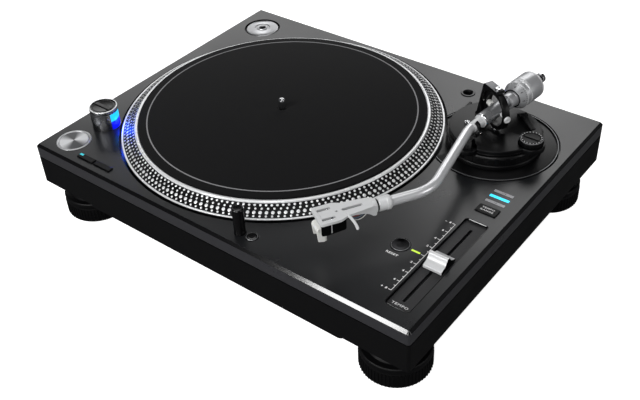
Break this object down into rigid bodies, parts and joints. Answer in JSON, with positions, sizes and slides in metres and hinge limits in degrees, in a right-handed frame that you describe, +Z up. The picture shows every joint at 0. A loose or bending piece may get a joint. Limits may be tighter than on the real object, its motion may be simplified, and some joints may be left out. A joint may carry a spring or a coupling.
{
  "type": "dj turntable",
  "caption": "Direct-drive DJ turntable: plinth on ribbed feet, dotted platter with slipmat, S-shaped tonearm, pitch fader and pop-up stylus light.",
  "frame": {"origin": "on the floor under the middle of the plinth", "axes": "+X to the right side, +Y to the back, +Z up"},
  "size_m": [0.453, 0.353, 0.1457],
  "materials": {
    "deck": "satin dark grey",
    "lower_body": "fine-grained near-black",
    "foot": "matt black, ribbed",
    "steel": "turned",
    "platter_alloy": "cast and turned, dark dotted rim",
    "rubber": "matt",
    "magnet": "plain",
    "felt": "black felt with a printed ring",
    "brass": "turned",
    "aluminium": "turned, satin",
    "chrome": "polished",
    "grey_metal": "satin grey",
    "cyan_lens": "lit cyan",
    "dark_chrome": "dark, polished",
    "black_plastic": "black",
    "lens": "light windows",
    "board": "circuit board",
    "black_metal": "semi-gloss black",
    "weight": "plated, satin",
    "silver_paint": "silver",
    "white_plastic": "white"
  },
  "bodies": {
    "plinth": {"deck_panel": "deck", "chassis": "lower_body", "bottom_cover": "lower_body", "foot_studs": "steel", "spindle_bearing": "brass", "motor_stator": "magnet", "start_stop_bezel": "chrome", "strobe_housing": "dark_chrome", "strobe_window": "cyan_lens", "tempo_panel": "black_plastic", "tempo_potentiometer": "grey_metal", "indicator_windows": "lens", "switch_boards": "board", "power_supply": "grey_metal", "headshell_holder": "black_plastic", "mains_inlet": "black_plastic", "rear_terminals": "chrome", "arm_plate": "black_metal"},
    "foot_front_left": {"foot_front_left": "foot"},
    "foot_front_right": {"foot_front_right": "foot"},
    "foot_back_left": {"foot_back_left": "foot"},
    "foot_back_right": {"foot_back_right": "foot"},
    "platter": {"platter": "platter_alloy", "platter_damper": "rubber", "rotor_magnet": "magnet", "spindle": "steel"},
    "slipmat": {"slipmat": "felt"},
    "adapter_45": {"adapter_45": "aluminium"},
    "start_stop_button": {"start_stop_button": "aluminium"},
    "speed_33_button": {"speed_33_button": "grey_metal", "speed_33_lens": "cyan_lens"},
    "speed_45_button": {"speed_45_button": "grey_metal"},
    "power_knob": {"power_knob": "black_plastic"},
    "stylus_light": {"stylus_light": "dark_chrome"},
    "stylus_light_button": {"stylus_light_button": "black_plastic"},
    "reset_button": {"reset_button": "black_plastic"},
    "range_button": {"range_button": "grey_metal"},
    "fader_cap": {"fader_cap": "aluminium"},
    "ground_nut": {"ground_nut": "chrome"},
    "height_ring": {"height_ring": "black_metal"},
    "height_lock": {"height_lock": "black_plastic"},
    "arm_base": {"arm_base": "black_metal", "yoke": "black_metal", "yoke_pivots": "chrome", "rest_post": "black_plastic"},
    "gimbal": {"gimbal_ring": "black_metal", "gimbal_pivots": "chrome"},
    "tonearm": {"arm_sleeve": "chrome", "arm_tube": "chrome", "headshell": "silver_paint", "cartridge": "black_plastic", "stylus": "white_plastic"},
    "weight_core": {"weight_core": "steel"},
    "counterweight": {"counterweight": "weight"},
    "force_dial": {"force_dial": "weight"},
    "collar_nut": {"collar_nut": "chrome"},
    "anti_skate_knob": {"anti_skate_knob": "black_plastic"},
    "cue_lever": {"cue_lever": "black_plastic"},
    "arm_lifter": {"arm_lifter": "chrome"},
    "rest_clip": {"rest_clip": "black_plastic"}
  },
  "joints": [
    {"name": "foot_turn_front_left", "type": "hinge", "parent": "plinth", "child": "foot_front_left", "pos_m": [-0.1914, -0.1422, 0], "axis": [0, 0, 1], "range_deg": [-180, 180]},
    {"name": "foot_turn_front_right", "type": "hinge", "parent": "plinth", "child": "foot_front_right", "pos_m": [0.1914, -0.1422, 0], "axis": [0, 0, 1], "range_deg": [-180, 180]},
    {"name": "foot_turn_back_left", "type": "hinge", "parent": "plinth", "child": "foot_back_left", "pos_m": [-0.1914, 0.1395, 0], "axis": [0, 0, 1], "range_deg": [-180, 180]},
    {"name": "foot_turn_back_right", "type": "hinge", "parent": "plinth", "child": "foot_back_right", "pos_m": [0.1914, 0.1395, 0], "axis": [0, 0, 1], "range_deg": [-180, 180]},
    {"name": "platter_turn", "type": "hinge", "parent": "plinth", "child": "platter", "pos_m": [-0.0461, 0.0015, 0.08], "axis": [0, 0, 1], "continuous": true},
    {"name": "slipmat_turn", "type": "hinge", "parent": "platter", "child": "slipmat", "pos_m": [-0.0461, 0.0015, 0.0932], "axis": [0, 0, 1], "continuous": true},
    {"name": "adapter_lift", "type": "slide", "parent": "plinth", "child": "adapter_45", "axis": [0, 0, 1], "range_m": [0, 0.012]},
    {"name": "start_stop_button_press", "type": "slide", "parent": "plinth", "child": "start_stop_button", "axis": [0, 0, 1], "range_m": [-0.001, 0], "stiffness_N_per_m": 400, "springref_m": 0.003},
    {"name": "speed_33_button_press", "type": "slide", "parent": "plinth", "child": "speed_33_button", "axis": [0, 0, 1], "range_m": [-0.0008, 0], "stiffness_N_per_m": 400, "springref_m": 0.003},
    {"name": "speed_45_button_press", "type": "slide", "parent": "plinth", "child": "speed_45_button", "axis": [0, 0, 1], "range_m": [-0.0008, 0], "stiffness_N_per_m": 400, "springref_m": 0.003},
    {"name": "stylus_light_button_press", "type": "slide", "parent": "plinth", "child": "stylus_light_button", "axis": [0, 0, 1], "range_m": [-0.0012, 0], "stiffness_N_per_m": 400, "springref_m": 0.003},
    {"name": "reset_button_press", "type": "slide", "parent": "plinth", "child": "reset_button", "axis": [0, 0, 1], "range_m": [-0.0008, 0], "stiffness_N_per_m": 400, "springref_m": 0.003},
    {"name": "range_button_press", "type": "slide", "parent": "plinth", "child": "range_button", "axis": [0, 0, 1], "range_m": [-0.0008, 0], "stiffness_N_per_m": 400, "springref_m": 0.003},
    {"name": "power_knob_turn", "type": "hinge", "parent": "plinth", "child": "power_knob", "pos_m": [-0.1916, -0.11031, 0.084], "axis": [0, 0, 1], "range_deg": [-45, 0]},
    {"name": "stylus_light_pop", "type": "slide", "parent": "plinth", "child": "stylus_light", "axis": [0, 0, 1], "range_m": [-0.0265, 0]},
    {"name": "fader_slide", "type": "slide", "parent": "plinth", "child": "fader_cap", "axis": [0, 1, 0], "range_m": [-0.05, 0.05]},
    {"name": "ground_nut_turn", "type": "hinge", "parent": "plinth", "child": "ground_nut", "pos_m": [0.147, 0.1765, 0.053], "axis": [0, 1, 0], "range_deg": [-180, 180]},
    {"name": "height_ring_turn", "type": "hinge", "parent": "plinth", "child": "height_ring", "pos_m": [0.15331, 0.08451, 0.0832], "axis": [0, 0, 1], "range_deg": [0, 270]},
    {"name": "arm_base_lift", "type": "slide", "parent": "plinth", "child": "arm_base", "axis": [0, 0, 1], "range_m": [0, 0.006]},
    {"name": "height_lock_turn", "type": "hinge", "parent": "plinth", "child": "height_lock", "pos_m": [0.10678, 0.1068, 0.0832], "axis": [0, 0, 1], "range_deg": [0, 50]},
    {"name": "tonearm_swing", "type": "hinge", "parent": "arm_base", "child": "gimbal", "pos_m": [0.15331, 0.08451, 0.1217], "axis": [0, 0, -1], "range_deg": [0, 44]},
    {"name": "tonearm_lift", "type": "hinge", "parent": "gimbal", "child": "tonearm", "pos_m": [0.15331, 0.08451, 0.1217], "axis": [0.8526, -0.5225, 0], "range_deg": [-8.5, 0.3]},
    {"name": "weight_travel", "type": "slide", "parent": "tonearm", "child": "weight_core", "axis": [-0.1045, -0.9945, 0], "range_m": [-0.006, 0.008]},
    {"name": "weight_turn", "type": "hinge", "parent": "weight_core", "child": "counterweight", "pos_m": [0.15331, 0.08451, 0.1217], "axis": [-0.1045, -0.9945, 0], "range_deg": [-720, 960]},
    {"name": "force_dial_turn", "type": "hinge", "parent": "weight_core", "child": "force_dial", "pos_m": [0.15331, 0.08451, 0.1217], "axis": [-0.1045, -0.9945, 0], "range_deg": [-180, 180]},
    {"name": "collar_nut_turn", "type": "hinge", "parent": "tonearm", "child": "collar_nut", "pos_m": [0.16878, -0.05513, 0.1217], "axis": [-0.5225, -0.8526, 0], "range_deg": [-90, 90]},
    {"name": "anti_skate_turn", "type": "hinge", "parent": "arm_base", "child": "anti_skate_knob", "pos_m": [0.19533, 0.07748, 0.1034], "axis": [0, 0, 1], "range_deg": [0, 270]},
    {"name": "cue_lever_turn", "type": "hinge", "parent": "arm_base", "child": "cue_lever", "pos_m": [0.16631, 0.11551, 0.1025], "axis": [0.6508, 0.7593, 0], "range_deg": [-35, 0]},
    {"name": "arm_lifter_drop", "type": "slide", "parent": "arm_base", "child": "arm_lifter", "axis": [0, 0, -1], "range_m": [-0.0046, 0]},
    {"name": "rest_clip_turn", "type": "hinge", "parent": "arm_base", "child": "rest_clip", "pos_m": [0.15712, 0.0402, 0.1195], "axis": [0.0523, -0.9986, 0], "range_deg": [-20, 45]}
  ],
  "couplings": [
    {"joint": "height_ring_turn", "follows": "arm_base_lift", "rad_per_m": 785.39},
    {"joint": "cue_lever_turn", "follows": "arm_lifter_drop", "rad_per_m": 132.79},
    {"joint": "weight_turn", "follows": "weight_travel", "rad_per_m": 2094.4}
  ]
}
